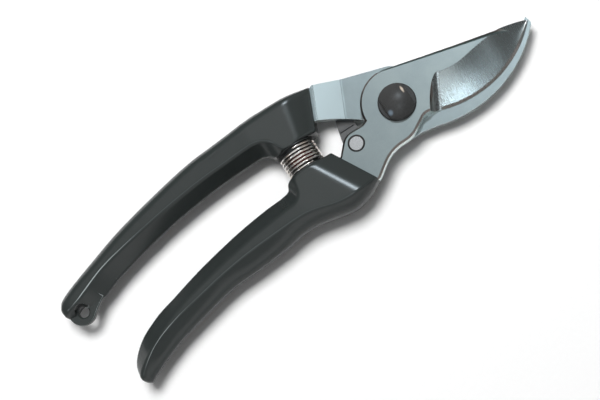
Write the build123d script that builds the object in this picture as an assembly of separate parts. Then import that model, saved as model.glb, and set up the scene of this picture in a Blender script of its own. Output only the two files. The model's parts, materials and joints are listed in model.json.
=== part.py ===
from build123d import *
import os
from math import asin, atan2, cos, degrees, radians, sin, sqrt

# Hand-held bypass pruner, shown closed: a cutting blade that swings past a hooked counter-blade.
#
# Everything is drawn round the pivot, and moved to the part's own origin at the very end.
# +X runs from the handles to the blade tip, +Y towards the upper handle, +Z out of the front face.
# Z = 0 is the plane in which the two blades slide past each other.  Sizes are in millimetres.

# ---- driving dimensions: plates -------------------------------------------------------------
BLADE_T = 5.0            # forged cutting blade and its shank
HOOK_T = 3.0             # pressed hook plate
PLATE_GAP = 0.05         # running gap between the two plates
EDGE_CHAMFER = 0.8       # broken edge all round the blade's front face
SPINE_CHAMFER = 1.3      # wider one along the spine
BLADE_HUB_R = 14.7       # blade's round shoulder about the pivot
HOOK_HUB_R = 14.4        # hook plate's hub, hidden behind the blade
CUT_CENTRE = (28.0, 30.9)
CUT_R = 44.7             # belly of the cutting edge
EDGE_LAND = 1.1          # width of the honed band along the edge
EDGE_LAND_Z = 0.95       # its height at the back
EDGE_Z = 0.15            # flat left at the very edge
RUNOUT_R = 4.2           # grinding wheel's corner, where the hollow grind starts
CUT_ABOVE = 9.0          # level above the blade that cutting shapes reach up to
GRIND_SAG = 0.35         # hollow of the grind
JOGGLE = 3.35            # how far the hook plate steps up into its grip
BEND_LOW = -21.1         # distance from the pivot to the first bend line
BEND_HIGH = -32.2        # and to the second
BEND_TURN = -24.3        # bend lines stand square to this direction, degrees
BEND_R = 3.0

# ---- driving dimensions: pivot --------------------------------------------------------------
BOLT_R = 4.0
BUSH_R = 5.0
FIT_GAP = 0.04           # radial running clearance of the bush and of the rivet
SEAT_GAP = 0.02          # radial gap of parts that don't turn on each other
HEAD_R = 7.6
HEAD_FLAT = 5.5          # half the distance across the flats of the bolt's head
HEAD_TOP = 9.3
HEAD_WASHER_T = 0.9
BACK_WASHER_R = 9.0
BACK_WASHER_T = 0.6
NUT_AF = 13.0
BASE_Z = -8.2            # back of the nut and of the grips: what the tool lies on

# ---- driving dimensions: catch --------------------------------------------------------------
RIVET = (-22.0, -4.9)
RIVET_R = 2.75
RIVET_SHANK_R = 2.4
CATCH_LOW = -6.0
CATCH_TOP = -3.45
CATCH_BOSS_TOP = -0.3
CATCH_BOSS_R = 5.5
CATCH_THROW = 10.0       # turn that hooks the catch over its keeper, degrees
CATCH_RIB = (-21.9, 4.4) # middle of the stiffening rib on its front
CATCH_PAD = (-18.0, -9.6)
THUMB_PITCH = 1.6        # spacing of the thumb ribs on its back
KEEPER = (-16.5, 9.0)
KEEPER_R = 1.5
KEEPER_CLEAR = 0.4

# ---- driving dimensions: spring and grips ---------------------------------------------------
GRIP_MID = 0.8           # mid-plane of both grips
NECK_HALF = GRIP_MID - BASE_Z
SPRING_X = -43.4
SPRING_R = 7.5           # to the middle of the wire
WIRE = 1.0
SEAT_T = 0.4
SEAT_R = 8.5             # round seats that the coil's ends press on
SPIGOT_R = 6.3
UPPER_SEAT_Y = 7.7       # face of the upper grip's spring boss
LOWER_SEAT_Y = -3.1      # face of the lower grip's
BUFFER_R = 5.0
BUFFER_INSET = 0.2       # how far the buffer sinks into the lower seat's plate
LANYARD = (-148.5, -1.4)
LANYARD_R = 2.2
LUG_CENTRE = (-148.9, -0.7)
LUG_R = 5.7
SCALLOP_R = 3.0          # clearance cut in the grip round the lanyard hole
LUG_HALF = 1.4           # half the thickness of the lanyard lug
LUG_WEB = [(-130.0, 2.6), (-138.6, -0.5), (-145.7, -5.4)]     # free edge of the web beside the lug


def plate(curves, bottom, top):
    """A flat plate between two levels, cut to a closed outline."""
    face = make_face(Wire(curves))
    return extrude(Pos(0, 0, bottom) * face, amount=top - bottom, dir=(0, 0, 1))


def disc(x, y, r, bottom, top):
    return Pos(x, y, bottom) * extrude(Circle(r), amount=top - bottom)


def ring(x, y, outer, inner, bottom, top):
    return disc(x, y, outer, bottom, top) - disc(x, y, inner, bottom - 1, top + 1)


def about(centre, r, angle):
    """The point at a radius and an angle, in degrees, about a centre."""
    return (centre[0] + r * cos(radians(angle)), centre[1] + r * sin(radians(angle)))


def edges_at(solid, z, keep):
    """Edges lying flat at one level whose middle satisfies a rule."""
    found = []
    for e in solid.edges():
        box = e.bounding_box()
        flat = abs(box.min.Z - z) < 1e-4 and abs(box.max.Z - z) < 1e-4
        if flat and keep(e @ 0.5):
            found.append(e)
    return found


# ---- cutting blade --------------------------------------------------------------------------
def cut_y(x):
    """Height of the cutting edge, a plain circular belly."""
    return CUT_CENTRE[1] - sqrt(CUT_R ** 2 - (x - CUT_CENTRE[0]) ** 2)


NOTCH = (-14.5, 0.8)
SPINE_START = (4.2, 14.1)
SPINE_MID = (29.5, 7.4)
SPINE_END = (47.4, 2.9)
TIP = (60.0, 0.6)
HEEL_X = 12.6            # where the cutting edge meets the shoulder
SHANK_END = -98.0        # how far the shank runs down inside the lower grip
RIVET_MOUTH = 0.8        # depth of the cone round the rivet's hole
KEY_R = 1.8              # holes the grips' plastic flows through
BLADE_KEYS = [(-46.0, -14.6), (-64.0, -15.8), (-82.0, -17.8)]


def spine_and_edge(to_tip):
    """The blade proper, from the spine round to the heel of the cutting edge."""
    if to_tip:
        nose = [ThreePointArc(SPINE_END, (54.5, 1.9), TIP), Line(TIP, (60.2, cut_y(60.2)))]
        last = 60.2
    else:
        nose = [Line(SPINE_END, (50.0, 2.3)), Line((50.0, 2.3), (50.0, cut_y(50.0)))]
        last = 50.0
    belly = ThreePointArc((last, cut_y(last)), (30.0, cut_y(30.0)), (HEEL_X, cut_y(HEEL_X)))
    return [ThreePointArc(SPINE_START, SPINE_MID, SPINE_END)] + nose + [belly]


def blade_outline(to_tip=True):
    heel = (HEEL_X, cut_y(HEEL_X))
    hub = ThreePointArc(NOTCH, about((0, 0), BLADE_HUB_R, 128), SPINE_START)
    belly = [
        Line(heel, (10.2, -10.6)),
        ThreePointArc((10.2, -10.6), (7.8, -9.8), (4.8, -10.6)),
        Line((4.8, -10.6), (0.6, -13.1)),
        ThreePointArc((0.6, -13.1), (-2.6, -14.4), (-6.0, -14.7)),
        ThreePointArc((-6.0, -14.7), (-11.6, -15.4), (-16.6, -17.9)),
        Line((-16.6, -17.9), (-21.4, -21.4)),
    ]
    shank = [
        Spline((-21.4, -21.4), (-33.0, -22.2), (-48.0, -18.8), (-66.0, -19.4), (-94.0, -23.4)),
        ThreePointArc((-94.0, -23.4), (SHANK_END, -21.0), (-96.0, -17.6)),
        Spline((-96.0, -17.6), (-72.0, -12.6), (-50.0, -10.4), (-30.2, -6.0)),
    ]
    throat = [
        Line((-30.2, -6.0), (-26.4, -1.9)),
        ThreePointArc((-26.4, -1.9), (-24.2, -0.3), (-21.4, 0.3)),
        Line((-21.4, 0.3), (-16.2, 0.1)),
        Line((-16.2, 0.1), NOTCH),
    ]
    return [hub] + spine_and_edge(to_tip) + belly + shank + throat


def grind_section(x, ridge_y, ridge_z):
    """What the grinding wheel takes off at one station along the blade."""
    edge_y = cut_y(x)
    land = min(EDGE_LAND, 0.3 * (ridge_y - edge_y))
    slope = (EDGE_LAND_Z - EDGE_Z) / EDGE_LAND
    land_top = (edge_y + land, EDGE_Z + slope * land)
    outside = (edge_y - 2.0, EDGE_Z - slope * 2.0)
    middle = ((ridge_y + land_top[0]) / 2, (ridge_z + land_top[1]) / 2 - GRIND_SAG)
    outline = [(ridge_y, ridge_z), middle, land_top, outside, (outside[0], CUT_ABOVE), (ridge_y, CUT_ABOVE)]
    ridge, sag, land_end, *rest = [(x, y, z) for y, z in outline]
    corners = [land_end, *rest, ridge]
    sides = [Line(a, b) for a, b in zip(corners, corners[1:])]
    return make_face(Wire([ThreePointArc(ridge, sag, land_end), *sides]))


def grind_cutter():
    """The hollow grind, from its straight start line out past the tip."""
    t = BLADE_T
    stations = [(8, 2.6, t), (14, 1.8, t), (20, 1.1, t), (27.5, 0.4, t), (34.5, 1.3, t), (41, 2.2, t),
                (46.5, 3.3, t), (51, 3.1, 3.7), (56, 2.4, 2.3), (60.3, 1.5, 1.1), (61.3, 1.8, 0.9)]
    wheel = loft([grind_section(*s) for s in stations])
    top, low = Vector(19.8, 1.1, t), Vector(13.3, -10.6, 1.0)
    along = low - top
    left = Plane(origin=top, x_dir=(along.X, along.Y, 0), z_dir=(along.Y, -along.X, 0))
    wheel = split(wheel, left, keep=Keep.BOTTOM)
    corner = Plane(origin=top - along * 0.3 + Vector(0, 0, RUNOUT_R + 0.02), z_dir=along)
    roller = corner * extrude(Circle(RUNOUT_R), amount=along.length * 1.6)
    return wheel + roller


def spine_chamfer():
    """A wedge along the spine that fades into the hub's narrower chamfer."""
    path = ThreePointArc((0.0, 15.6), SPINE_MID, (54.0, 0.9))
    start = Plane(origin=(0.0, 15.6, BLADE_T), x_dir=(0, 0, 1), z_dir=path % 0)
    w = SPINE_CHAMFER
    wedge = start * make_face(Polyline((0.5, -w - 0.5), (0.5, w), (-w - w, w), (0.5, -w - 0.5)))
    return sweep(wedge, Pos(0, 0, BLADE_T) * path)


def cutting_blade():
    stock = plate(blade_outline(to_tip=False), 0, BLADE_T)
    stock = chamfer(edges_at(stock, BLADE_T, lambda p: True), EDGE_CHAMFER)
    blade = stock + plate(blade_outline(), 0, BLADE_T - EDGE_CHAMFER)
    blade -= spine_chamfer()
    blade -= grind_cutter()
    blade -= disc(0, 0, BUSH_R + FIT_GAP, -1, BLADE_T + 1)
    blade -= disc(*RIVET, RIVET_R + SEAT_GAP, -1, BLADE_T + 1)
    mouth = Cone(RIVET_R - 0.2, RIVET_R + 0.6, RIVET_MOUTH)
    blade -= Pos(*RIVET, BLADE_T - RIVET_MOUTH / 4) * mouth
    for hole in BLADE_KEYS:
        blade -= disc(*hole, KEY_R, -1, BLADE_T + 1)
    return blade


# ---- hook plate -----------------------------------------------------------------------------
OPEN_ANGLE = 28.0        # how far the handles and blades spread
NECK_TOP = (-24.4, 25.3)
NECK_LOW = (-30.7, 12.2)
THROAT_LOW = (-14.2, 2.4)
HUB_TANGENT = (1.5, -14.32)
INNER_START = (13.2, -5.75)
SPIKE = (60.4, 2.1)
HOOK_KEYS = [(-50.0, 19.2), (-70.0, 19.0), (-92.0, 16.6)]
CREASE_R = 0.3           # groove the press leaves along the upper bend


def hook_outline():
    hook = [
        ThreePointArc(INNER_START, (34.0, -9.0), SPIKE),
        Line(SPIKE, (61.0, -0.7)),
        ThreePointArc((61.0, -0.7), (60.9, -1.4), (60.4, -1.9)),
        ThreePointArc((60.4, -1.9), (38.0, -15.8), (9.0, -15.7)),
        Line((9.0, -15.7), HUB_TANGENT),
        ThreePointArc(HUB_TANGENT, about((0, 0), HOOK_HUB_R, 225), THROAT_LOW),
    ]
    neck = [
        ThreePointArc(THROAT_LOW, (-21.0, 7.4), NECK_LOW),
        Spline(NECK_LOW, (-45.0, 14.6), (-62.0, 16.1), (-84.0, 15.0), (-108.0, 11.6)),
        ThreePointArc((-108.0, 11.6), (-110.4, 13.4), (-109.0, 15.7)),
        Spline((-109.0, 15.7), (-84.0, 20.7), (-62.0, 23.0), (-45.0, 23.6), (-28.5, 23.2)),
        Line((-28.5, 23.2), NECK_TOP),
        Line(NECK_TOP, (4.5, 15.9)),
        ThreePointArc((4.5, 15.9), (8.8, 12.9), (12.0, 7.9)),
        ThreePointArc((12.0, 7.9), about((0, 0), HOOK_HUB_R, 5), INNER_START),
    ]
    return hook + neck


def bent_across(sketch):
    """A side view of the hook plate, run across the whole tool square to its bend lines."""
    turn = radians(BEND_TURN)
    across = Plane(origin=(0, 0, 0), x_dir=(cos(turn), sin(turn), 0), z_dir=(sin(turn), -cos(turn), 0))
    return extrude(across * sketch, amount=90, both=True)


def joggled_strip():
    """The bent plate: flat, ramp, then flat again."""
    top = -PLATE_GAP
    high = top + JOGGLE
    line = [(70, top), (BEND_LOW, top), (BEND_HIGH, high), (-130, high),
            (-130, high - HOOK_T), (BEND_HIGH, high - HOOK_T), (BEND_LOW, top - HOOK_T), (70, top - HOOK_T)]
    side = make_face(Polyline(*line, line[0]))
    bends = [v for v in side.vertices() if -40 < v.X < -15]
    side = fillet(bends, BEND_R)
    return bent_across(side)


def hook_plate():
    body = plate(hook_outline(), -6, 6) & joggled_strip()
    low, high = -PLATE_GAP - HOOK_T, -PLATE_GAP
    grip_edge = edges_at(body, low, lambda p: p.X > 20 and p.Y > cut_y(min(p.X, 60)) + 2)
    body = chamfer(grip_edge, 1.2)
    body -= bent_across(Pos(BEND_HIGH, high + JOGGLE + CREASE_R / 2) * Circle(CREASE_R))
    body -= disc(0, 0, BOLT_R + SEAT_GAP, low - 1, high + 1)
    body -= disc(*KEEPER, KEEPER_R + SEAT_GAP, low - 1, low + HOOK_T / 2)
    for hole in HOOK_KEYS:
        body -= disc(*hole, KEY_R, -5, 8)
    return body


# ---- pivot ----------------------------------------------------------------------------------
HEAD_SEAT = BLADE_T + PLATE_GAP
BACK_SEAT = -PLATE_GAP - HOOK_T - BACK_WASHER_T
COLLAR_R = 6.2           # round collar of the lock nut, over its nylon ring
COLLAR_H = 1.3
INSERT_R = 5.3


def head_washer():
    washer = ring(0, 0, HEAD_R, BOLT_R + SEAT_GAP, HEAD_SEAT, HEAD_SEAT + HEAD_WASHER_T)
    outer = edges_at(washer, HEAD_SEAT + HEAD_WASHER_T, lambda p: abs(p.X) + abs(p.Y) > BOLT_R + 1)
    return chamfer(outer, 0.3)


def pivot_bolt():
    """Low domed head with two flats, on a plain shank."""
    under = HEAD_SEAT + HEAD_WASHER_T
    rim = under + 0.8
    r = HEAD_R - 0.25
    rise = HEAD_TOP - rim
    ball_r = (r * r + rise * rise) / (2 * rise)
    head = disc(0, 0, r, under, HEAD_TOP + 1) & Pos(0, 0, HEAD_TOP - ball_r) * Sphere(ball_r)
    head = fillet(edges_at(head, rim, lambda p: True), 0.6)
    head &= Pos(0, 0, HEAD_TOP) * Box(2 * HEAD_FLAT, 4 * HEAD_R, 4 * HEAD_TOP)
    return head + disc(0, 0, BOLT_R, BASE_Z + 0.3, under)


def pivot_bush():
    return ring(0, 0, BUSH_R, BOLT_R + SEAT_GAP, -PLATE_GAP, HEAD_SEAT)


def back_washer():
    return ring(0, 0, BACK_WASHER_R, BOLT_R + SEAT_GAP, BACK_SEAT, BACK_SEAT + BACK_WASHER_T)


def pivot_nut():
    shoulder = BASE_Z + COLLAR_H
    hexagon = extrude(Pos(0, 0, shoulder) * RegularPolygon(NUT_AF / 2, 6, major_radius=False),
                      amount=BACK_SEAT - shoulder)
    upright = (Align.CENTER, Align.CENTER, Align.MIN)
    corners = Pos(0, 0, shoulder - 0.2) * Cone(NUT_AF / 2, NUT_AF / 2 + 6, 6, align=upright)
    nut = (hexagon & corners) + ring(0, 0, COLLAR_R, INSERT_R, BASE_Z, shoulder)
    return nut - disc(0, 0, BOLT_R + SEAT_GAP, BASE_Z - 1, BACK_SEAT + 1)


def nut_insert():
    return ring(0, 0, INSERT_R, BOLT_R + SEAT_GAP, BASE_Z + 0.2, BASE_Z + COLLAR_H)


# ---- catch ----------------------------------------------------------------------------------
def polar_keeper():
    """The keeper's distance and angle from the catch's own pivot."""
    x, y = KEEPER[0] - RIVET[0], KEEPER[1] - RIVET[1]
    return sqrt(x * x + y * y), degrees(atan2(y, x))


def from_rivet(r, angle):
    return about(RIVET, r, angle)


def catch():
    """Flat lever under the blade, drawn released: turned back by its throw it hooks the keeper."""
    reach, bearing = polar_keeper()
    gap = KEEPER_R + KEEPER_CLEAR
    near, far = reach - gap, reach + gap
    back = bearing + CATCH_THROW + degrees(asin(gap / reach))
    mouth = from_rivet(near, 71.5), from_rivet(far, 75.5)
    floor = from_rivet(near, back), from_rivet(far, back)
    lip = from_rivet(far + 1.5, 76.5), from_rivet(far + 1.2, 92)
    nose = [
        Line((-17.9, 0.0), mouth[0]),
        ThreePointArc(mouth[0], from_rivet(near, 77), floor[0]),
        Line(floor[0], floor[1]),
        ThreePointArc(floor[1], from_rivet(far, 78), mouth[1]),
        Line(mouth[1], lip[0]),
        ThreePointArc(lip[0], from_rivet(far + 2.4, 84), lip[1]),
        Line(lip[1], (-24.5, 8.0)),
        Line((-24.5, 8.0), (-25.6, 3.6)),
        Line((-25.6, 3.6), (-26.6, -1.0)),
        ThreePointArc((-26.6, -1.0), (-28.3, -5.4), (-27.0, -9.4)),
    ]
    tab = [
        Line((-27.0, -9.4), (-22.4, -12.6)),
        Line((-22.4, -12.6), (-21.2, -15.8)),
        ThreePointArc((-21.2, -15.8), (-17.6, -16.0), (-14.8, -14.2)),
        Line((-14.8, -14.2), (-15.2, -8.0)),
        Line((-15.2, -8.0), (-17.9, 0.0)),
    ]
    lever = plate(nose + tab, CATCH_LOW, CATCH_TOP)
    lever += disc(*RIVET, CATCH_BOSS_R, CATCH_LOW, CATCH_BOSS_TOP)
    rib = Pos(*CATCH_RIB, CATCH_TOP) * Box(6.4, 0.9, 1.4)
    lever += fillet(rib.edges().filter_by(Axis.X).sort_by(Axis.Z)[-2:], 0.35)
    for i in range(4):
        x, y = CATCH_PAD
        lever += Pos(x, y - THUMB_PITCH * i, CATCH_LOW - 0.55) * Box(5.0, 0.8, 1.3)
    return lever - disc(*RIVET, RIVET_SHANK_R + FIT_GAP, CATCH_LOW - 2, 1)


WAVE_T = 0.45
TAIL_T = 1.0


def catch_washer():
    top = CATCH_LOW - 0.05
    return ring(*RIVET, 4.4, RIVET_SHANK_R + SEAT_GAP, top - WAVE_T, top)


def catch_rivet():
    tail = CATCH_LOW - 0.05 - WAVE_T
    rivet = disc(*RIVET, RIVET_R, 0, BLADE_T) + disc(*RIVET, RIVET_SHANK_R, tail - TAIL_T, 0)
    button = disc(*RIVET, 3.9, tail - TAIL_T, tail)
    button = chamfer(edges_at(button, tail - TAIL_T, lambda p: True), 0.5)
    return rivet + button


def catch_keeper():
    low = -PLATE_GAP - HOOK_T
    pin = disc(*KEEPER, KEEPER_R, CATCH_LOW, low + HOOK_T / 2)
    return chamfer(edges_at(pin, CATCH_LOW, lambda p: True), 0.3)


# ---- spring ---------------------------------------------------------------------------------
def along_y(y, r, length):
    """A round bar on the spring's axis, from a height y upwards."""
    axis = Plane(origin=(SPRING_X, y, GRIP_MID), x_dir=(1, 0, 0), z_dir=(0, 1, 0))
    return axis * extrude(Circle(r), amount=length)


SPIGOT = 2.8             # how far each seat's spigot enters the coil
TURNS = 6.1
UPPER_FACE = UPPER_SEAT_Y - SEAT_T
LOWER_FACE = LOWER_SEAT_Y + SEAT_T


def spring():
    low, high = LOWER_FACE + WIRE / 2 + 0.1, UPPER_FACE - WIRE / 2 - 0.1
    coil = Helix(pitch=(high - low) / TURNS, height=high - low, radius=SPRING_R)
    start = Plane(origin=coil @ 0, z_dir=coil % 0)
    wire = sweep(start * Circle(WIRE / 2), coil, is_frenet=True)
    axis = Plane(origin=(SPRING_X, low, GRIP_MID), x_dir=(1, 0, 0), z_dir=(0, 1, 0))
    return axis.from_local_coords(wire)


def spring_seat_upper():
    return along_y(UPPER_FACE, SEAT_R, SEAT_T) + along_y(UPPER_FACE - SPIGOT, SPIGOT_R, SPIGOT)


def spring_seat_lower():
    seat = along_y(LOWER_SEAT_Y, SEAT_R, SEAT_T) + along_y(LOWER_FACE, SPIGOT_R, SPIGOT)
    return seat - along_y(LOWER_FACE - BUFFER_INSET, BUFFER_R, SPIGOT + 1)


def buffer():
    """Rubber stop that the handles close on."""
    low = LOWER_FACE - BUFFER_INSET
    plug = along_y(low, BUFFER_R - SEAT_GAP, UPPER_FACE - SPIGOT - 0.15 - low)
    return chamfer(plug.edges().sort_by(Axis.Y)[-1:], 0.6)


# ---- grips ----------------------------------------------------------------------------------
# Each station of a grip is a vertical section: outer wall point, inner wall point, how wide and how
# deep the outer shoulder is, the same for the inner one, and half the grip's thickness.
UPPER_FRONT = [
    ((-25.4, 25.2), (-32.9, UPPER_SEAT_Y), 1.2, 1.4, 0.5, 0.6, 4.6),
    ((-35.5, 27.1), (-39.8, UPPER_SEAT_Y), 2.6, 3.0, 0.5, 0.5, NECK_HALF),
    ((-45.3, 27.5), (-46.6, UPPER_SEAT_Y), 2.6, 3.0, 0.5, 0.5, NECK_HALF),
    ((-47.6, 27.5), (-48.3, UPPER_SEAT_Y), 2.6, 3.0, 2.6, 1.4, NECK_HALF),
    ((-49.2, 27.7), (-49.7, 7.7), 2.9, 3.0, 5.3, 3.4, NECK_HALF),
    ((-51.4, 27.7), (-51.9, 8.3), 2.9, 3.0, 6.5, 5.4, NECK_HALF),
    ((-53.8, 27.6), (-53.8, 10.1), 2.9, 3.0, 5.7, 7.0, NECK_HALF),
    ((-56.8, 27.5), (-56.2, 11.5), 2.9, 3.0, 4.8, 8.0, NECK_HALF),
    ((-60.5, 27.2), (-58.9, 11.7), 2.9, 3.0, 4.7, 8.0, 8.8),
]
UPPER_LENGTH = [
    ((-70.5, 26.6), (-69.4, 11.6), 2.9, 3.0, 4.5, 7.5, 8.3),
    ((-81.1, 26.0), (-78.9, 11.2), 3.0, 3.0, 4.7, 7.1, 7.9),
    ((-101.7, 22.6), (-97.5, 9.2), 3.2, 3.0, 5.0, 6.5, 7.3),
    ((-121.7, 18.1), (-116.3, 5.7), 3.2, 3.0, 5.7, 6.1, 6.9),
    ((-135.8, 13.7), (-129.6, 2.4), 3.2, 2.8, 6.4, 5.8, 6.6),
    ((-146.8, 10.0), (-140.6, -1.2), 2.8, 2.6, 6.0, 5.5, 6.3),
    ((-151.9, 8.0), (-147.0, -1.4), 2.8, 2.6, 3.8, 5.2, 6.0),
    ((-154.6, 6.2), (-152.4, -1.4), 2.0, 2.0, 2.4, 4.2, 5.0),
    ((-156.0, 3.9), (-155.4, -0.6), 1.0, 1.2, 1.2, 2.4, 3.4),
]
LOWER_FRONT = [
    ((-22.0, -21.7), (-32.4, LOWER_SEAT_Y + 0.5), 1.6, 1.6, 0.5, 0.6, 5.2),
    ((-28.3, -25.3), (-41.2, LOWER_SEAT_Y), 3.6, 4.0, 0.5, 0.5, NECK_HALF),
    ((-35.5, -26.6), (-45.6, LOWER_SEAT_Y), 5.0, 4.6, 0.5, 0.5, NECK_HALF),
    ((-40.8, -25.9), (-50.3, LOWER_SEAT_Y), 5.3, 4.6, 1.7, 1.6, NECK_HALF),
    ((-46.2, -24.7), (-53.2, -3.8), 5.6, 4.6, 6.4, 5.0, NECK_HALF),
    ((-51.8, -23.6), (-54.6, -5.7), 5.2, 4.9, 6.7, 6.8, NECK_HALF),
    ((-58.0, -23.4), (-58.0, -6.3), 5.2, 4.7, 6.6, 7.8, 8.8),
]
LOWER_LENGTH = [
    ((-66.0, -24.5), (-65.5, -6.7), 6.2, 4.7, 6.9, 7.6, 8.4),
    ((-80.1, -25.6), (-78.4, -8.2), 6.8, 4.6, 6.9, 7.1, 7.9),
    ((-92.2, -26.1), (-88.8, -10.0), 6.1, 4.5, 7.0, 6.7, 7.5),
    ((-106.3, -28.9), (-101.2, -12.6), 6.8, 4.3, 7.2, 6.4, 7.2),
    ((-120.4, -32.3), (-114.3, -16.1), 7.7, 4.3, 7.3, 6.1, 6.9),
    ((-130.9, -36.1), (-125.5, -19.3), 7.7, 4.1, 8.9, 5.8, 6.6),
    ((-137.2, -39.0), (-136.0, -24.9), 5.0, 3.7, 7.6, 5.2, 6.0),
    ((-139.8, -39.8), (-141.3, -31.1), 2.8, 2.4, 4.2, 4.2, 5.0),
    ((-141.6, -38.5), (-142.1, -34.6), 1.0, 1.2, 1.6, 2.6, 3.8),
]


def section(outer, inner, outer_w, outer_drop, inner_w, inner_drop, half):
    """Eight-sided section of a grip in the vertical plane through its two wall points."""
    across = Vector(*inner, 0) - Vector(*outer, 0)
    width = across.length
    steps = [(0, half - outer_drop), (outer_w, half), (width - inner_w, half), (width, half - inner_drop)]
    front = [Vector(*outer, GRIP_MID + z) + across * (t / width) for t, z in steps]
    back = [Vector(*outer, GRIP_MID - z) + across * (t / width) for t, z in reversed(steps)]
    return make_face(Polyline(*front, *back, front[0]))


def grip(front, length):
    head = loft([section(*s) for s in front], ruled=True)
    tail = loft([section(*s) for s in [front[-1]] + length])
    return head + tail


def lanyard_lug():
    """A disc round the lanyard hole, and the web that blends it into the grip's inner side."""
    start, low, inside = LUG_WEB[0], LUG_WEB[2], (-148.4, 3.0)
    web = [ThreePointArc(*LUG_WEB), Line(low, LUG_CENTRE), Line(LUG_CENTRE, inside), Line(inside, start)]
    bottom, top = GRIP_MID - LUG_HALF, GRIP_MID + LUG_HALF
    return plate(web, bottom, top) + disc(*LUG_CENTRE, LUG_R, bottom, top)


def upper_grip():
    body = grip(UPPER_FRONT, UPPER_LENGTH) + lanyard_lug()
    body -= disc(*LANYARD, SCALLOP_R, GRIP_MID + LUG_HALF, GRIP_MID + 20)
    body -= disc(*LANYARD, SCALLOP_R, GRIP_MID - 20, GRIP_MID - LUG_HALF)
    return body - disc(*LANYARD, LANYARD_R, -20, 20) - hook_plate()


def lower_grip():
    seat_recess = along_y(LOWER_SEAT_Y, SEAT_R + SEAT_GAP, 2)
    return grip(LOWER_FRONT, LOWER_LENGTH) - cutting_blade() - seat_recess


PARTS = [
    hook_plate, cutting_blade, upper_grip, lower_grip,
    pivot_bolt, pivot_bush, head_washer, back_washer, pivot_nut, nut_insert,
    catch, catch_rivet, catch_washer, catch_keeper,
    spring, spring_seat_upper, spring_seat_lower, buffer,
]


def build():
    """Every piece, moved so that the origin is under the middle of the tool as it lies on its back."""
    made = {make.__name__: make() for make in PARTS}
    boxes = [shape.bounding_box() for shape in made.values()]
    low, high = [b.min for b in boxes], [b.max for b in boxes]
    mid_x = (min(p.X for p in low) + max(p.X for p in high)) / 2
    mid_y = (min(p.Y for p in low) + max(p.Y for p in high)) / 2
    shift = Pos(-mid_x, -mid_y, -min(p.Z for p in low))
    return {name: shift * shape for name, shape in made.items()}, shift.position


if __name__ == "__main__":
    os.makedirs("parts", exist_ok=True)
    pieces, origin = build()
    print("pivot axis at", origin)
    for name, shape in pieces.items():
        export_step(shape, f"parts/{name}.step")
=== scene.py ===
import json
from math import cos, pi, radians, sin, tan

import bmesh
import bpy
import numpy as np
from mathutils import Matrix, Vector


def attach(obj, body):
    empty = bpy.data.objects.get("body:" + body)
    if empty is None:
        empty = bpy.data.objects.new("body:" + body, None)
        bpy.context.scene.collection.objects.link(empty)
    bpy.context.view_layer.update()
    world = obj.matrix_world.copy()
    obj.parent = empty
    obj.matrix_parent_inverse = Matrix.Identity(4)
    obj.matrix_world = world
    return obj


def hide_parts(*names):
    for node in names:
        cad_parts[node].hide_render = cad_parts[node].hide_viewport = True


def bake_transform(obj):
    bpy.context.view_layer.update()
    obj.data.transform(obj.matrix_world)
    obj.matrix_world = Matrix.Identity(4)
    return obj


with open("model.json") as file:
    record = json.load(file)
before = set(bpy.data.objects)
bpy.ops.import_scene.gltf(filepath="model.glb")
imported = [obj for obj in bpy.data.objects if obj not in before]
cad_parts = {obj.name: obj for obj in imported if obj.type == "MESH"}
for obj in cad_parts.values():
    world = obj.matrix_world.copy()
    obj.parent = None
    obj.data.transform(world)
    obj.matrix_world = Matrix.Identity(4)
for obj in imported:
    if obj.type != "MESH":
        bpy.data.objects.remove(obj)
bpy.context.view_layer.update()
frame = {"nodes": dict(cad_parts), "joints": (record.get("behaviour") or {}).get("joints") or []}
NODES = frame["nodes"]
PIVOT = Vector(next(j["pos_m"] for j in frame["joints"] if j["name"] == "main_pivot"))
MM = 0.001

# Sizes below are millimetres about the pivot: +X to the blade's tip, +Y to the upper grip, +Z out of
# the front face, Z = 0 where the two blades slide past each other.
GRIP_MID = 0.8
BLADE_TOP = 5.0
CUT_CENTRE = (28.0, 30.9)
CUT_R = 44.7
EDGE_LAND = 1.1
RIVET = (-22.0, -4.9)
# Radius within which the blade is painted dark round the catch rivet: painted shade in its mouth.
RIVET_MOUTH_R = 3.4

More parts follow.
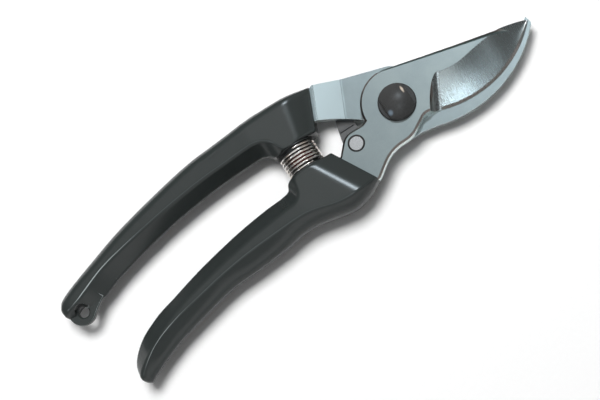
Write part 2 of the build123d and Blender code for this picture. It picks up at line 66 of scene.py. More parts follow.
# Each station of a grip: outer wall point, inner wall point, width and depth of the outer shoulder,
# the same of the inner shoulder, and half the grip's thickness.
UPPER_STATIONS = [
    ((-25.4, 25.2), (-32.9, 7.7), 1.2, 1.4, 0.5, 0.6, 4.6),
    ((-35.5, 27.1), (-39.8, 7.7), 2.6, 3.0, 0.5, 0.5, 9.0),
    ((-45.3, 27.5), (-46.6, 7.7), 2.6, 3.0, 0.5, 0.5, 9.0),
    ((-47.6, 27.5), (-48.3, 7.7), 2.6, 3.0, 2.6, 1.4, 9.0),
    ((-49.2, 27.7), (-49.7, 7.7), 2.9, 3.0, 5.3, 3.4, 9.0),
    ((-51.4, 27.7), (-51.9, 8.3), 2.9, 3.0, 6.5, 5.4, 9.0),
    ((-53.8, 27.6), (-53.8, 10.1), 2.9, 3.0, 5.7, 7.0, 9.0),
    ((-56.8, 27.5), (-56.2, 11.5), 2.9, 3.0, 4.8, 8.0, 9.0),
    ((-60.5, 27.2), (-58.9, 11.7), 2.9, 3.0, 4.7, 8.0, 8.8),
    ((-70.5, 26.6), (-69.4, 11.6), 2.9, 3.0, 4.5, 7.5, 8.3),
    ((-81.1, 26.0), (-78.9, 11.2), 3.0, 3.0, 4.7, 7.1, 7.9),
    ((-101.7, 22.6), (-97.5, 9.2), 3.2, 3.0, 5.0, 6.5, 7.3),
    ((-121.7, 18.1), (-116.3, 5.7), 3.2, 3.0, 5.7, 6.1, 6.9),
    ((-135.8, 13.7), (-129.6, 2.4), 3.2, 2.8, 6.4, 5.8, 6.6),
    ((-146.8, 10.0), (-140.6, -1.2), 2.8, 2.6, 6.0, 5.5, 6.3),
    ((-151.9, 8.0), (-147.0, -1.4), 2.8, 2.6, 3.8, 5.2, 6.0),
    ((-154.6, 6.2), (-152.4, -1.4), 2.0, 2.0, 2.4, 4.2, 5.0),
    ((-156.0, 3.9), (-155.4, -0.6), 1.0, 1.2, 1.2, 2.4, 3.4),
]
LOWER_STATIONS = [
    ((-22.0, -21.7), (-32.4, -2.6), 1.6, 1.6, 0.5, 0.6, 5.2),
    ((-28.3, -25.3), (-41.2, -3.1), 3.6, 4.0, 0.5, 0.5, 9.0),
    ((-35.5, -26.6), (-45.6, -3.1), 5.0, 4.6, 0.5, 0.5, 9.0),
    ((-40.8, -25.9), (-50.3, -3.1), 5.3, 4.6, 1.7, 1.6, 9.0),
    ((-46.2, -24.7), (-53.2, -3.8), 5.6, 4.6, 6.4, 5.0, 9.0),
    ((-51.8, -23.6), (-54.6, -5.7), 5.2, 4.9, 6.7, 6.8, 9.0),
    ((-58.0, -23.4), (-58.0, -6.3), 5.2, 4.7, 6.6, 7.8, 8.8),
    ((-66.0, -24.5), (-65.5, -6.7), 6.2, 4.7, 6.9, 7.6, 8.4),
    ((-80.1, -25.6), (-78.4, -8.2), 6.8, 4.6, 6.9, 7.1, 7.9),
    ((-92.2, -26.1), (-88.8, -10.0), 6.1, 4.5, 7.0, 6.7, 7.5),
    ((-106.3, -28.9), (-101.2, -12.6), 6.8, 4.3, 7.2, 6.4, 7.2),
    ((-120.4, -32.3), (-114.3, -16.1), 7.7, 4.3, 7.3, 6.1, 6.9),
    ((-130.9, -36.1), (-125.5, -19.3), 7.7, 4.1, 8.9, 5.8, 6.6),
    ((-137.2, -39.0), (-136.0, -24.9), 5.0, 3.7, 7.6, 5.2, 6.0),
    ((-139.8, -39.8), (-141.3, -31.1), 2.8, 2.4, 4.2, 4.2, 5.0),
    ((-141.6, -38.5), (-142.1, -34.6), 1.0, 1.2, 1.6, 2.6, 3.8),
]
# How far each corner's rounding reaches along the sloping shoulder, and along the wall or the flat
# beside it: outer wall, outer ridge, inner ridge, inner wall.
UPPER_ROUNDING = [(3.2, 5.6), (1.1, 2.0), (1.1, 1.1), (0.7, 0.75)]
LOWER_ROUNDING = [(5.5, 5.6), (0.9, 0.9), (1.1, 1.1), (0.7, 0.75)]
RING_STEP = 0.7          # distance between a grip's rings
BEVEL_ROUND = 3.0        # reach of the rounding where the front bevel meets the flat
FRONT_ROUND = 0.55       # rounding of the edge round the front face
CORNER_STEPS = 10        # points on each rounded corner of a ring
END_ROUND = 0.9          # rounding of the free end
WALL_SHARE = 0.47        # largest share of a wall or a flat that one corner's rounding may take
SLOPE_SHARE = (0.25, 0.72)   # the same of a slope, at its ridge and at its wall

LANYARD = (-148.5, -1.4)
LANYARD_R = 2.2
LUG_CENTRE = (-148.9, -0.7)
LUG_R = 5.7
LUG_ARC = (-58, -250)    # where the disc leaves the web and where it meets the grip, degrees
LUG_HALF = 1.4
LUG_ROUND = 0.4
SCALLOP_R = 3.0          # clearance cut in the grip round the hole, in front of and behind the lug
HOLE_RIM = 0.5           # flare at each end of the hole
WEB = [(-130.0, 2.6), (-138.6, -0.5), (-145.7, -5.4)]   # free edge of the web beside the lug
WEB_INSIDE = (-131.0, 5.0)   # its hidden corner, inside the grip
SHARP_ANGLE = 41.0       # edges of a grip steeper than this stay crisp, degrees

SPRING_X = -43.4
SPRING_R = 7.5
WIRE = 1.0
SPRING_TOP = 7.3
SPRING_LOW = -2.7
TURNS = 6.1
TURN_START = 60.0        # degrees round from +X where the wire starts


def place(x, y, z):
    """A point given in millimetres about the pivot, in the frame's metres."""
    return PIVOT + Vector((x, y, z)) * MM


def new_object(name, mesh):
    obj = bpy.data.objects.new(name, mesh)
    bpy.context.scene.collection.objects.link(obj)
    return obj


def smooth_mesh(name, points, faces):
    mesh = bpy.data.meshes.new(name)
    mesh.from_pydata([tuple(p) for p in points], [], faces)
    shape = bmesh.new()
    shape.from_mesh(mesh)
    bmesh.ops.recalc_face_normals(shape, faces=shape.faces)
    shape.to_mesh(mesh)
    shape.free()
    mesh.shade_smooth()
    return mesh


# ---- node helpers ---------------------------------------------------------------------------
class Surface:
    """A Principled material with short ways to add nodes to it."""

    def __init__(self, name, **sockets):
        self.material = bpy.data.materials.new(name)
        self.material.use_nodes = True
        self.tree = self.material.node_tree
        self.shader = self.tree.nodes["Principled BSDF"]
        for socket, value in sockets.items():
            self.shader.inputs[socket.replace("_", " ")].default_value = value

    def node(self, kind, **settings):
        made = self.tree.nodes.new("ShaderNode" + kind)
        for name, value in settings.items():
            setattr(made, name, value)
        return made

    def feed(self, socket, source):
        if isinstance(source, bpy.types.NodeSocket):
            self.tree.links.new(source, socket)
        else:
            socket.default_value = source

    def math(self, operation, *values):
        made = self.node("Math", operation=operation)
        for socket, value in zip(made.inputs, values):
            self.feed(socket, value)
        return made.outputs[0]

    def position(self):
        """Millimetres about the pivot, fixed to the piece."""
        coords = self.node("TexCoord").outputs["Object"]
        moved = self.node("VectorMath", operation="SUBTRACT")
        self.feed(moved.inputs[0], coords)
        moved.inputs[1].default_value = PIVOT
        scaled = self.node("VectorMath", operation="SCALE")
        self.feed(scaled.inputs[0], moved.outputs[0])
        scaled.inputs["Scale"].default_value = 1 / MM
        return scaled.outputs[0]

    def split(self, vector):
        made = self.node("SeparateXYZ")
        self.feed(made.inputs[0], vector)
        return made.outputs[0], made.outputs[1], made.outputs[2]

    def stretched(self, vector, scale, turn=0.0):
        made = self.node("Mapping")
        self.feed(made.inputs["Vector"], vector)
        made.inputs["Rotation"].default_value = (0, 0, radians(turn))
        made.inputs["Scale"].default_value = scale
        return made.outputs[0]

    def noise(self, vector, scale, detail=4.0, roughness=0.55):
        made = self.node("TexNoise")
        self.feed(made.inputs["Vector"], vector)
        made.inputs["Scale"].default_value = scale
        made.inputs["Detail"].default_value = detail
        made.inputs["Roughness"].default_value = roughness
        return made.outputs[0]

    def spread(self, value, low, high, to_low, to_high, smooth=False):
        """A value's range carried over to another range."""
        made = self.node("MapRange", interpolation_type="SMOOTHSTEP" if smooth else "LINEAR")
        for socket, number in zip(made.inputs, (value, low, high, to_low, to_high)):
            self.feed(socket, number)
        return made.outputs[0]

    def mix(self, share, a, b):
        """One colour turning into another."""
        made = self.node("Mix", data_type="RGBA")
        colours = [s for s in made.inputs if s.type == "RGBA"]
        self.feed(made.inputs[0], share)
        self.feed(colours[0], a)
        self.feed(colours[1], b)
        return next(s for s in made.outputs if s.type == "RGBA")

    def bump(self, height, distance, normal=None):
        made = self.node("Bump")
        made.inputs["Strength"].default_value = 1.0
        made.inputs["Distance"].default_value = distance * MM
        self.feed(made.inputs["Height"], height)
        if normal is not None:
            self.feed(made.inputs["Normal"], normal)
        return made.outputs[0]

    def soft_edges(self, radius):
        """Normals rounded over sharp edges."""
        made = self.node("Bevel", samples=4)
        made.inputs["Radius"].default_value = radius * MM
        return made.outputs[0]

    def edge_share(self, rounded):
        """1 on sharp edges, 0 on plain faces."""
        true = self.node("NewGeometry").outputs["Normal"]
        dot = self.node("VectorMath", operation="DOT_PRODUCT")
        self.feed(dot.inputs[0], true)
        self.feed(dot.inputs[1], rounded)
        return self.spread(dot.outputs["Value"], 0.999, 0.9, 0.0, 1.0)

    def set(self, socket, source):
        self.feed(self.shader.inputs[socket], source)


def grey(value, tint=(1.0, 1.0, 1.0)):
    return (value * tint[0], value * tint[1], value * tint[2], 1.0)


# ---- materials ------------------------------------------------------------------------------
COOL = (0.885, 1.0, 1.006)
PALE = (0.9, 1.0, 0.98)
OXIDE = (0.15, 0.135, 0.125, 1.0)
NYLON_BLUE = (0.5, 0.7, 1.0)
RUBBER_DARK = (0.07, 0.005, 0.005, 1)
RUBBER_RED = (0.1, 0.007, 0.007, 1)


def satin_steel():
    """Pressed plate with a pale satin finish: fine streaks and a faint mottle.

    The ramp between its two bends is picked out by its slope and painted paler, a painted reflection of the
    light; its edges are painted pale, a painted highlight.
    """
    s = Surface("satin_steel", Metallic=1.0, Roughness=0.4)
    p = s.position()
    mottle = s.noise(p, 0.12, 3.0)
    streaks = s.noise(s.stretched(p, (6.0, 0.35, 1.0), 25), 1.0, 3.0)
    rounded = s.soft_edges(0.3)
    facing = s.split(s.node("TexCoord").outputs["Normal"])[2]
    below_flat = s.spread(facing, 0.97, 0.965, 0, 1)
    above_steep = s.spread(facing, 0.92, 0.93, 0, 1)
    ramp = s.math("MULTIPLY", below_flat, above_steep)
    base = s.mix(s.spread(mottle, 0.3, 0.7, 0, 1), grey(0.225, COOL), grey(0.255, COOL))
    # Painted reflection: the tilted ramp is painted paler, as if it caught the light.
    base = s.mix(ramp, base, grey(0.6, COOL))
    # Painted highlight: sharp edges are painted near white.
    s.set("Base Color", s.mix(s.edge_share(rounded), base, grey(0.92, COOL)))
    s.set("Roughness", s.spread(streaks, 0.3, 0.7, 0.34, 0.46))
    s.set("Normal", s.bump(streaks, 0.008, normal=rounded))
    return s.material


def ground_steel():
    """Forged blade: blasted hub, oxide left on its chamfers, polished hollow grind, honed edge, with a
    painted reflection on its side walls and painted shade round the catch rivet's mouth.
    """
    s = Surface("ground_steel", Metallic=1.0, Roughness=0.4)
    p = s.position()
    x, y, z = s.split(p)
    rounded = s.soft_edges(0.12)
    facing = s.split(s.node("TexCoord").outputs["Normal"])[2]
    below = s.spread(z, BLADE_TOP - 0.03, BLADE_TOP - 0.06, 0, 1)
    ground = s.math("MULTIPLY", below, s.spread(facing, 0.73, 0.76, 0, 1))
    tilted = s.math("MULTIPLY", s.spread(facing, 0.76, 0.73, 0, 1), s.spread(facing, 0.3, 0.35, 0, 1))
    oxide = s.math("MULTIPLY", tilted, s.spread(z, 3.3, 3.5, 0, 1))
    wall = s.spread(facing, 0.3, 0.25, 0, 1)

    flat = s.node("CombineXYZ")
    s.feed(flat.inputs[0], x)
    s.feed(flat.inputs[1], y)
    to_centre = s.node("VectorMath", operation="DISTANCE")
    s.feed(to_centre.inputs[0], flat.outputs[0])
    to_centre.inputs[1].default_value = (*CUT_CENTRE, 0)
    land = s.spread(to_centre.outputs["Value"], CUT_R - EDGE_LAND - 0.1, CUT_R - EDGE_LAND + 0.1, 0, 1)
    start_line = s.math("MULTIPLY_ADD", y, 0.53, 19.5)
    run_out = s.spread(s.math("SUBTRACT", x, start_line), 0.3, -0.3, 0, 1)

    grain = s.noise(p, 2.2, 6.0, 0.7)
    mottle = s.noise(p, 0.1, 3.0)
    brush = s.noise(s.stretched(p, (9.0, 0.25, 1.0)), 1.0, 4.0, 0.6)
    streaks = s.noise(s.stretched(p, (0.5, 3.5, 1.0), -28), 1.0, 4.0, 0.6)
    hub = s.mix(s.spread(mottle, 0.35, 0.65, 0, 1), grey(0.195, COOL), grey(0.225, PALE))
    hub = s.mix(s.spread(grain, 0.35, 0.65, 0, 0.4), hub, grey(0.27, PALE))
    # Painted reflection: the side walls are painted near white, as if they mirrored the bright floor.
    hub = s.mix(wall, hub, grey(0.95, PALE))
    polish = s.mix(s.spread(brush, 0.3, 0.7, 0, 1), grey(0.31, COOL), grey(0.36, COOL))
    polish = s.mix(land, polish, grey(0.22, (1.05, 1.0, 0.95)))
    crescent = s.mix(s.spread(streaks, 0.35, 0.65, 0, 1), grey(0.16), grey(0.4, COOL))
    polish = s.mix(run_out, polish, crescent)
    colour = s.mix(ground, hub, polish)
    # Painted shade: a dark ring round the catch rivet's mouth.
    to_rivet = s.node("VectorMath", operation="DISTANCE")
    s.feed(to_rivet.inputs[0], flat.outputs[0])
    to_rivet.inputs[1].default_value = (*RIVET, 0)
    mouth = s.spread(to_rivet.outputs["Value"], RIVET_MOUTH_R + 0.1, RIVET_MOUTH_R, 0, 1)
    colour = s.mix(mouth, colour, grey(0.03))
    s.set("Base Color", s.mix(oxide, colour, OXIDE))

    rough = s.node("Mix", data_type="FLOAT")
    s.feed(rough.inputs[0], ground)
    s.feed(rough.inputs[2], s.spread(grain, 0.3, 0.7, 0.36, 0.46))
    s.feed(rough.inputs[3], s.spread(brush, 0.3, 0.7, 0.22, 0.3))
    s.set("Roughness", rough.outputs[0])
    height = s.node("Mix", data_type="FLOAT")
    s.feed(height.inputs[0], ground)
    s.feed(height.inputs[2], grain)
    s.feed(height.inputs[3], s.spread(brush, 0.0, 1.0, 0.4, 0.6))
    s.set("Normal", s.bump(height.outputs[0], 0.008, normal=rounded))
    return s.material


def grip_plastic():
    """Glossy moulded plastic, almost black, with the faint orange peel of the mould.

    A pale line is painted along the inner ridge towards the tail, in place of a highlight there.
    """
    s = Surface("grip_plastic", Roughness=0.28, Specular_IOR_Level=0.3)
    p = s.position()
    mottle = s.noise(p, 0.08, 3.0)
    peel = s.noise(p, 0.7, 2.0)
    scuffs = s.noise(s.stretched(p, (0.5, 3.0, 1.0), -12), 1.0, 5.0, 0.7)
    x, y, z = s.split(p)
    leaning = s.split(s.node("TexCoord").outputs["Normal"])[1]
    limits = [
        s.spread(leaning, -0.15, -0.21, 0, 1, smooth=True),
        s.spread(leaning, -0.32, -0.26, 0, 1, smooth=True),
        s.spread(x, -110, -136, 0.03, 0.6, smooth=True),
        s.spread(y, -36, -29, 0, 1, smooth=True),
        s.spread(x, -152, -145, 0, 1, smooth=True),
    ]
    ridge_line = limits[0]
    for limit in limits[1:]:
        ridge_line = s.math("MULTIPLY", ridge_line, limit)
    base = s.mix(mottle, (0.0250, 0.0300, 0.0295, 1), (0.0280, 0.0335, 0.0330, 1))
    s.set("Base Color", s.mix(ridge_line, base, grey(0.6, COOL)))
    s.set("Roughness", s.spread(scuffs, 0.35, 0.75, 0.19, 0.27))
    s.set("Normal", s.bump(peel, 0.0006))
    return s.material


# Painted highlights on the bolt's head, standing in for reflections of the lamps: middle, half size,
# colour.
PAINTED_HIGHLIGHTS = [
    ((4.2, 2.6), (0.6, 1.9), (0.55, 0.48, 0.4, 1)),
    ((-4.5, -2.9), (1.2, 1.3), (0.13, 0.17, 0.21, 1)),
]


def bolt_steel():
    """Black oxide on the bolt's dome, with two painted highlights on it, painted light towards +Y and
    painted highlights along its edges.
    """
    s = Surface("bolt_steel", Specular_IOR_Level=0.2)
    p = s.position()
    x, y, z = s.split(p)
    grain = s.noise(p, 1.8, 5.0, 0.65)
    scratches = s.noise(s.stretched(p, (7.0, 1.0, 1.0)), 1.0, 4.0, 0.6)
    rounded = s.soft_edges(0.25)
    colour = s.mix(s.spread(grain, 0.35, 0.7, 0, 1), grey(0.028), grey(0.042, (0.95, 1.0, 1.0)))
    # Painted light: the head is painted lighter towards +Y.
    colour = s.mix(s.spread(y, -7, 6, 0.0, 0.35), colour, grey(0.07))
    # Painted highlight: the head's sharp edges are painted paler.
    colour = s.mix(s.edge_share(rounded), colour, grey(0.12))
    # Each painted highlight is a ragged pale spot.
    for (at_x, at_y), (half_x, half_y), pale in PAINTED_HIGHLIGHTS:
        across = s.math("DIVIDE", s.math("SUBTRACT", x, at_x), half_x)
        along = s.math("DIVIDE", s.math("SUBTRACT", y, at_y), half_y)
        from_middle = s.math("ADD", s.math("MULTIPLY", across, across), s.math("MULTIPLY", along, along))
        ragged = s.math("ADD", from_middle, s.math("MULTIPLY", scratches, 0.8))
        highlight_mask = s.spread(ragged, 0.3, 1.5, 1, 0, smooth=True)
        colour = s.mix(highlight_mask, colour, pale)
    s.set("Base Color", colour)
    s.set("Roughness", s.spread(grain, 0.3, 0.7, 0.33, 0.4))
    s.set("Normal", s.bump(grain, 0.001, normal=rounded))
    return s.material


def washer_steel():
    """Deeper black of the flange under the bolt's head."""
    s = Surface("washer_steel", Specular_IOR_Level=0.3)
    p = s.position()
    grain = s.noise(p, 2.5, 5.0, 0.65)
    rounded = s.soft_edges(0.15)
    s.set("Base Color", s.mix(s.spread(grain, 0.35, 0.7, 0, 1), grey(0.012), grey(0.022)))
    s.set("Roughness", s.spread(grain, 0.3, 0.7, 0.3, 0.4))
    s.set("Normal", s.bump(grain, 0.002, normal=rounded))
    return s.material


def turned_metal(name, value, tint, roughness):
    """Plain turned or plated metal with a fine grain."""
    s = Surface(name, Metallic=1.0, Roughness=roughness)
    p = s.position()
    grain = s.noise(p, 5.0, 4.0, 0.6)
    rounded = s.soft_edges(0.15)
    base = s.mix(s.spread(grain, 0.3, 0.7, 0, 1), grey(value * 0.9, tint), grey(value * 1.08, tint))
    s.set("Base Color", base)
    s.set("Roughness", s.spread(grain, 0.3, 0.7, roughness - 0.05, roughness + 0.08))
    s.set("Normal", s.bump(grain, 0.006, normal=rounded))
    return s.material


def spring_steel():
    """Drawn wire: lengthwise draw marks and a slight straw tint."""
    s = Surface("spring_steel", Metallic=1.0, Roughness=0.24)
    p = s.position()
    marks = s.noise(s.stretched(p, (0.25, 4.0, 4.0)), 1.0, 3.0, 0.6)
    tint = s.noise(p, 0.35, 2.0)
    bright, straw = grey(0.75, (1.0, 0.98, 0.95)), grey(0.65, (1.0, 0.88, 0.78))
    base = s.mix(s.spread(tint, 0.35, 0.65, 0, 1), bright, straw)
    s.set("Base Color", base)
    s.set("Roughness", s.spread(marks, 0.3, 0.7, 0.16, 0.24))
    s.set("Normal", s.bump(marks, 0.003))
    return s.material


def moulded(name, dark, light, roughness):
    """Small moulded parts: matt plastic, nylon and rubber."""
    s = Surface(name, Roughness=roughness)
    p = s.position()
    mottle = s.noise(p, 0.5, 4.0)
    grain = s.noise(p, 3.0, 3.0)
    s.set("Base Color", s.mix(mottle, dark, light))
    s.set("Roughness", s.spread(grain, 0.3, 0.7, roughness - 0.06, roughness + 0.08))
    s.set("Normal", s.bump(grain, 0.015, normal=s.soft_edges(0.2)))
    return s.material


def floor_paper():
    """Plain pale paper sweep."""
    s = Surface("floor_paper", Roughness=0.9)
    tooth = s.noise(s.position(), 0.6, 4.0)
    s.set("Base Color", s.mix(tooth, grey(0.9), grey(0.93)))
    s.set("Normal", s.bump(tooth, 0.02))
    return s.material


# ---- grips ----------------------------------------------------------------------------------
def station_rows(stations):
    return np.array([[*outer, *inner, *rest] for outer, inner, *rest in stations], float)


def row_at(rows, at, s):
    """A station's numbers at any distance: straight as far as the second station, smooth after it."""
    if s <= at[1]:
        return rows[0] + (rows[1] - rows[0]) * (s / at[1])
    i = min(int(np.searchsorted(at, s)) - 1, len(at) - 2)
    gap = at[i + 1] - at[i]
    t = (s - at[i]) / gap
    ahead = (rows[i + 1] - rows[i]) / gap
    before = (rows[i] - rows[i - 1]) / (at[i] - at[i - 1]) if i > 1 else ahead
    after = (rows[i + 2] - rows[i + 1]) / (at[i + 2] - at[i + 1]) if i + 2 < len(at) else ahead
    start = (before + ahead) / 2 * gap
    end = (ahead + after) / 2 * gap
    return (rows[i] * (2 * t**3 - 3 * t**2 + 1) + start * (t**3 - 2 * t**2 + t)
            + rows[i + 1] * (3 * t**2 - 2 * t**3) + end * (t**3 - t**2))


def rounded_row(rows, at, s):
    """The same, with the corner at the second station turned into a smooth bend."""
    low, high = at[1] - BEVEL_ROUND, at[1] + BEVEL_ROUND
    if not low < s < high:
        return row_at(rows, at, s)
    t = (s - low) / (high - low)
    a, b, c = row_at(rows, at, low), rows[1], row_at(rows, at, high)
    return a * (1 - t)**2 + b * 2 * t * (1 - t) + c * t**2


def ring(row, rounding, inset):
    """One rounded section of a grip, drawn in by an inset."""
    outer, inner = Vector((row[0], row[1], 0)), Vector((row[2], row[3], 0))
    outer_w, outer_drop, inner_w, inner_drop, half = row[4:]
    along = (inner - outer).normalized()
    width = (inner - outer).length - inset
    half -= inset
    steps = [(inset, half - outer_drop), (outer_w, half),
             (width - inner_w + inset, half), (width, half - inner_drop)]
    corners = []
    for side in (1, -1):
        for i in range(4)[::side]:
            t, z = steps[i]
            slope, beside = rounding[i]
            slope_is_next = (i in (0, 2)) == (side == 1)
            before, after = (beside, slope) if slope_is_next else (slope, beside)
            at_wall = i in (0, 3)
            on_slope = SLOPE_SHARE[at_wall]
            shares = (WALL_SHARE, on_slope) if slope_is_next else (on_slope, WALL_SHARE)
            corner = outer + along * t + Vector((0, 0, GRIP_MID + side * z))
            corners.append((corner, (before, after), shares))
    return [p for i in range(len(corners)) for p in rounded_corner(corners, i)]


def rounded_corner(corners, i):
    """Points of the curve that replaces a ring's corner."""
    here, reach, shares = corners[i]
    back = corners[i - 1][0] - here
    ahead = corners[(i + 1) % len(corners)][0] - here
    a = here + back * min(reach[0] / back.length, shares[0])
    c = here + ahead * min(reach[1] / ahead.length, shares[1])
    points = []
    for k in range(CORNER_STEPS):
        t = k / (CORNER_STEPS - 1)
        points.append(a * (1 - t)**2 + here * (2 * t * (1 - t)) + c * t**2)
    return points


def grip_mesh(name, stations, rounding):
    """A grip as rings joined into quads, closed with a flat face at each end."""
    rows = station_rows(stations)
    middle = (rows[:, 0:2] + rows[:, 2:4]) / 2
    at = np.concatenate([[0], np.cumsum(np.linalg.norm(np.diff(middle, axis=0), axis=1))])
    rings = []
    for k in range(5):
        turn = pi / 2 * k / 4
        front = row_at(rows, at, FRONT_ROUND * (1 - cos(turn)))
        rings.append(ring(front, rounding, FRONT_ROUND * (1 - sin(turn))))
    start, end = FRONT_ROUND + 0.4, at[-1] - END_ROUND
    count = int((end - start) / RING_STEP)
    for s in np.linspace(start, end, count):
        rings.append(ring(rounded_row(rows, at, float(s)), rounding, 0.0))
    for k in range(1, 6):
        turn = pi / 2 * k / 6
        last = row_at(rows, at, end + END_ROUND * sin(turn))
        rings.append(ring(last, rounding, END_ROUND * (1 - cos(turn))))
    return smooth_mesh(name, *skin_over([[place(*p) for p in r] for r in rings]))


def skin_over(rings):
    """Points and faces of rings joined into quads, closed with a flat face at each end."""
    size = len(rings[0])
    points = [p for r in rings for p in r]
    faces = []
    for j in range(len(rings) - 1):
        for i in range(size):
            a, b = j * size + i, j * size + (i + 1) % size
            faces.append((a, b, b + size, a + size))
    faces.append(tuple(reversed(range(size))))
    faces.append(tuple((len(rings) - 1) * size + i for i in range(size)))
    return points, faces


# ---- lanyard lug ----------------------------------------------------------------------------
def circle_points(centre, r, start, end, steps):
    """Points along an arc, angles in degrees."""
    return [Vector((centre[0] + r * cos(radians(a)), centre[1] + r * sin(radians(a))))
            for a in np.linspace(start, end, steps)]


def lug_outline():
    """The web's free edge, the disc round the hole, then back through the inside of the grip."""
    a, b, c = (Vector(p) for p in WEB)
    middle = 2 * b - (a + c) / 2
    web = [a * (1 - t)**2 + middle * (2 * t * (1 - t)) + c * t**2 for t in np.linspace(0, 1, 16)]
    return web + circle_points(LUG_CENTRE, LUG_R, *LUG_ARC, 48) + [Vector(WEB_INSIDE)]


def drawn_in(outline, inset):
    """A closed outline moved towards its inside."""
    moved = []
    for i, p in enumerate(outline):
        along = (outline[(i + 1) % len(outline)] - outline[i - 1]).normalized()
        moved.append(p + Vector((along.y, -along.x)) * inset)
    return moved


def lug_tool():
    outline = lug_outline()
    levels = []
    for side in (-1, 1):
        for k in range(5)[::side]:
            turn = pi / 2 * k / 4
            inset = LUG_ROUND * (1 - cos(turn))
            z = GRIP_MID + side * (LUG_HALF - LUG_ROUND * (1 - sin(turn)))
            levels.append([place(p.x, p.y, z) for p in drawn_in(outline, inset)])
    return new_object("lug_tool", smooth_mesh("lug_tool", *skin_over(levels)))


def round_tool(profile):
    """A round bar about the lanyard hole's axis, from a list of heights and radii."""
    levels = []
    for z, r in profile:
        levels.append([place(p.x, p.y, z) for p in circle_points(LANYARD, r, 0, 360, 65)[:-1]])
    return new_object("round_tool", smooth_mesh("round_tool", *skin_over(levels)))


def combine(obj, tool, operation):
    """Cut or join one solid with another, and throw the tool away."""
    made = obj.modifiers.new("combine", "BOOLEAN")
    made.operation = operation
    made.solver = "EXACT"
    made.object = tool
    bpy.context.view_layer.update()
    graph = bpy.context.evaluated_depsgraph_get()
    mesh = bpy.data.meshes.new_from_object(obj.evaluated_get(graph))
    mesh.name = obj.name
    obj.modifiers.clear()
    old, obj.data = obj.data, mesh
    bpy.data.meshes.remove(old)
    old = tool.data
    bpy.data.objects.remove(tool)
    bpy.data.meshes.remove(old)


def add_lug(obj):
    low, high = GRIP_MID - LUG_HALF, GRIP_MID + LUG_HALF
    combine(obj, lug_tool(), "UNION")
    combine(obj, round_tool([(high, SCALLOP_R), (high + 20, SCALLOP_R)]), "DIFFERENCE")
    combine(obj, round_tool([(low - 20, SCALLOP_R), (low, SCALLOP_R)]), "DIFFERENCE")
    mouth = LANYARD_R + HOLE_RIM + 1
    flare = [(low - 1, mouth), (low + HOLE_RIM, LANYARD_R), (high - HOLE_RIM, LANYARD_R), (high + 1, mouth)]
    combine(obj, round_tool(flare), "DIFFERENCE")


def add_weighted_normals(obj):
    made = obj.modifiers.new("Normals", "WEIGHTED_NORMAL")
    made.keep_sharp = True
    made.weight = 60


def make_grip(name, stations, rounding, body, material, finish=None):
    """A detailed grip that replaces the CAD node it is named after."""
    obj = new_object(name, grip_mesh(name, stations, rounding))
    if finish:
        finish(obj)
    obj.data.materials.clear()
    obj.data.materials.append(material)
    obj.data.set_sharp_from_angle(angle=radians(SHARP_ANGLE))
    add_weighted_normals(obj)
    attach(obj, body)
    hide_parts(name[:-5])


# ---- spring ---------------------------------------------------------------------------------
def spring_mesh():
    """Round wire wound along Y at an even pitch."""
    turn_steps, wire_steps = 48, 14
    low, high = SPRING_LOW + WIRE / 2 + 0.1, SPRING_TOP - WIRE / 2 - 0.1
    total = int(TURNS * turn_steps)
    centres = []
    for k in range(total + 1):
        share = k / total
        angle = 2 * pi * TURNS * share + radians(TURN_START)
        centres.append(Vector((SPRING_X + SPRING_R * cos(angle), low + (high - low) * share,
                               GRIP_MID + SPRING_R * sin(angle))))
    points = []
    for c in centres:
        out = Vector((c.x - SPRING_X, 0, c.z - GRIP_MID)).normalized()
        for i in range(wire_steps):
            a = 2 * pi * i / wire_steps
            points.append(place(*(c + (out * cos(a) + Vector((0, 1, 0)) * sin(a)) * WIRE / 2)))
    faces = []
    for k in range(total):
        for i in range(wire_steps):
            a, b = k * wire_steps + i, k * wire_steps + (i + 1) % wire_steps
            faces.append((a, a + wire_steps, b + wire_steps, b))
    faces.append(tuple(range(wire_steps)))
    faces.append(tuple(reversed([total * wire_steps + i for i in range(wire_steps)])))
    return smooth_mesh("spring_coil", points, faces)


def make_spring(material):
    obj = new_object("spring_coil", spring_mesh())
    obj.data.materials.append(material)
    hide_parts("spring")
    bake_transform(obj)


# ---- studio ---------------------------------------------------------------------------------
def make_floor():
    mesh = bpy.data.meshes.new("floor")
    shape = bmesh.new()
    bmesh.ops.create_grid(shape, x_segments=8, y_segments=8, size=3.0)
    shape.to_mesh(mesh)
    shape.free()
    floor = new_object("floor", mesh)
    floor.data.materials.append(floor_paper())


def sky_light(name, lean, spread, radiance, colour=(1, 1, 1)):
    """A soft box overhead that only reflections see, placed by angles in degrees towards +X and +Y."""
    low = [tan(radians(a - w / 2)) for a, w in zip(lean, spread)]
    high = [tan(radians(a + w / 2)) for a, w in zip(lean, spread)]
    centre = Vector(((low[0] + high[0]) / 2, (low[1] + high[1]) / 2, 1.0)) * SKY_HEIGHT
    size = ((high[0] - low[0]) * SKY_HEIGHT, (high[1] - low[1]) * SKY_HEIGHT)
    light = area_light(name, place(*WORK_CENTRE) + centre, size, radiance, colour)
    light.visible_diffuse = False
    return light


def area_light(name, where, size, radiance, colour=(1, 1, 1)):
    """A rectangle of light facing straight down."""
    data = bpy.data.lights.new(name, "AREA")
    data.shape = "RECTANGLE"
    data.size, data.size_y = size
    data.energy = radiance * pi * size[0] * size[1]
    data.color = colour
    obj = bpy.data.objects.new(name, data)
    bpy.context.scene.collection.objects.link(obj)
    obj.location = where
    return obj


def make_world(value):
    world = bpy.data.worlds.new("studio")
    bpy.context.scene.world = world
    world.use_nodes = True
    back = world.node_tree.nodes["Background"]
    back.inputs["Color"].default_value = grey(value)
    back.inputs["Strength"].default_value = 1.0


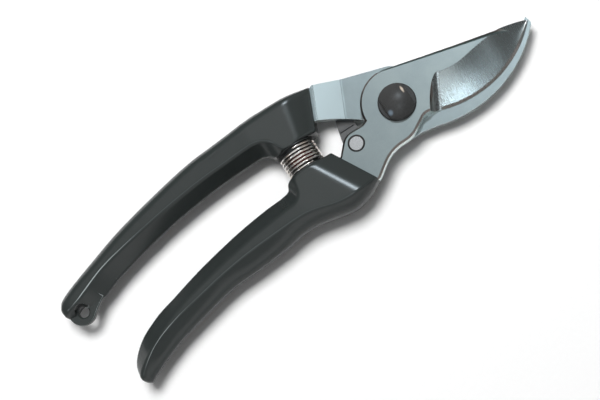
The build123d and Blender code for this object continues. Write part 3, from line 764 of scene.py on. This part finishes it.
WORK_CENTRE = (-45.0, 0.0, 0.0)
SKY_HEIGHT = 1.4
CAMERA_AT = (-29.7, -138.0, 553.0)
CAMERA_AIM = (-52.6, -10.5, 0.0)
CAMERA_ROLL = 33.0       # the blade points this far up to the right
CAMERA_LENS = 86.8


def camera_axes():
    """Right, up and back of the camera, in the frame."""
    ahead = (place(*CAMERA_AIM) - place(*CAMERA_AT)).normalized()
    along = (Vector((1, 0, 0)) - ahead * ahead.x).normalized()
    across = (-ahead).cross(along)
    c, s = cos(radians(CAMERA_ROLL)), sin(radians(CAMERA_ROLL))
    return along * c - across * s, along * s + across * c, -ahead


def make_camera():
    data = bpy.data.cameras.new("camera")
    data.lens = CAMERA_LENS
    data.sensor_width = 36.0
    data.clip_start, data.clip_end = 0.02, 20.0
    camera = bpy.data.objects.new("camera", data)
    bpy.context.scene.collection.objects.link(camera)
    right, up, back = camera_axes()
    turned = Matrix((right, up, back)).transposed().to_4x4()
    camera.matrix_world = Matrix.Translation(place(*CAMERA_AT)) @ turned
    bpy.context.scene.camera = camera


def make_lights():
    """One lamp that lights and shadows, and soft boxes that only show in reflections."""
    key = area_light("key", place(*WORK_CENTRE) + Vector((0.03, 0.46, 1.33)), (0.6, 0.6), 20.0)
    key.visible_glossy = False
    sky_light("top", (-3, 14), (62, 26), 0.66)
    sky_light("front", (-17, -25), (42, 26), 1.25)
    sky_light("side", (50, 28), (14, 56), 0.3)
    sky_light("cool_strip", (-45, -17), (12, 12), 10.0, (0.85, 0.93, 1.0))
    sky_light("bevel_strip", (21, 25), (9, 7), 75.0, (0.8, 0.92, 1.0))
    sky_light("ridge_strip", (2, -14), (9, 5), 30.0, (0.8, 0.92, 1.0))
    sky_light("low_front", (0, -53), (70, 16), 0.3)
    horizon = area_light("horizon", place(*WORK_CENTRE) + Vector((0, -1.0, 0.24)), (2.4, 0.4), 1.3)
    horizon.rotation_euler = (radians(90), 0, 0)
    horizon.visible_camera = horizon.visible_diffuse = False


# ---- everything together --------------------------------------------------------------------
def dress(node, material):
    """Give a CAD node its material."""
    obj = NODES[node]
    obj.data.materials.clear()
    obj.data.materials.append(material)


def main():
    plastic = grip_plastic()
    make_grip("upper_grip_skin", UPPER_STATIONS, UPPER_ROUNDING, "hook_side", plastic, add_lug)
    make_grip("lower_grip_skin", LOWER_STATIONS, LOWER_ROUNDING, "blade_side", plastic)
    make_spring(spring_steel())
    dress("hook_plate", satin_steel())
    dress("cutting_blade", ground_steel())
    dress("pivot_bolt", bolt_steel())
    dress("head_washer", washer_steel())
    zinc = turned_metal("zinc_steel", 0.6, (1.0, 0.99, 0.95), 0.3)
    for node in ("back_washer", "pivot_nut", "catch_washer", "catch_keeper"):
        dress(node, zinc)
    dress("catch_rivet", turned_metal("rivet_steel", 0.4, (1.0, 1.0, 1.0), 0.26))
    dress("pivot_bush", turned_metal("bush_bronze", 0.5, (1.0, 0.75, 0.45), 0.35))
    dress("catch", moulded("catch_plastic", grey(0.05), grey(0.075), 0.4))
    dress("nut_insert", moulded("nylon", grey(0.3, NYLON_BLUE), grey(0.35, NYLON_BLUE), 0.45))
    seat = moulded("seat_plastic", grey(0.02, COOL), grey(0.03, COOL), 0.4)
    dress("spring_seat_upper", seat)
    dress("spring_seat_lower", seat)
    dress("buffer", moulded("buffer_rubber", RUBBER_DARK, RUBBER_RED, 0.55))
    make_floor()
    make_world(0.2)
    make_camera()
    make_lights()
    bpy.context.scene.view_settings.view_transform = "Standard"


main()
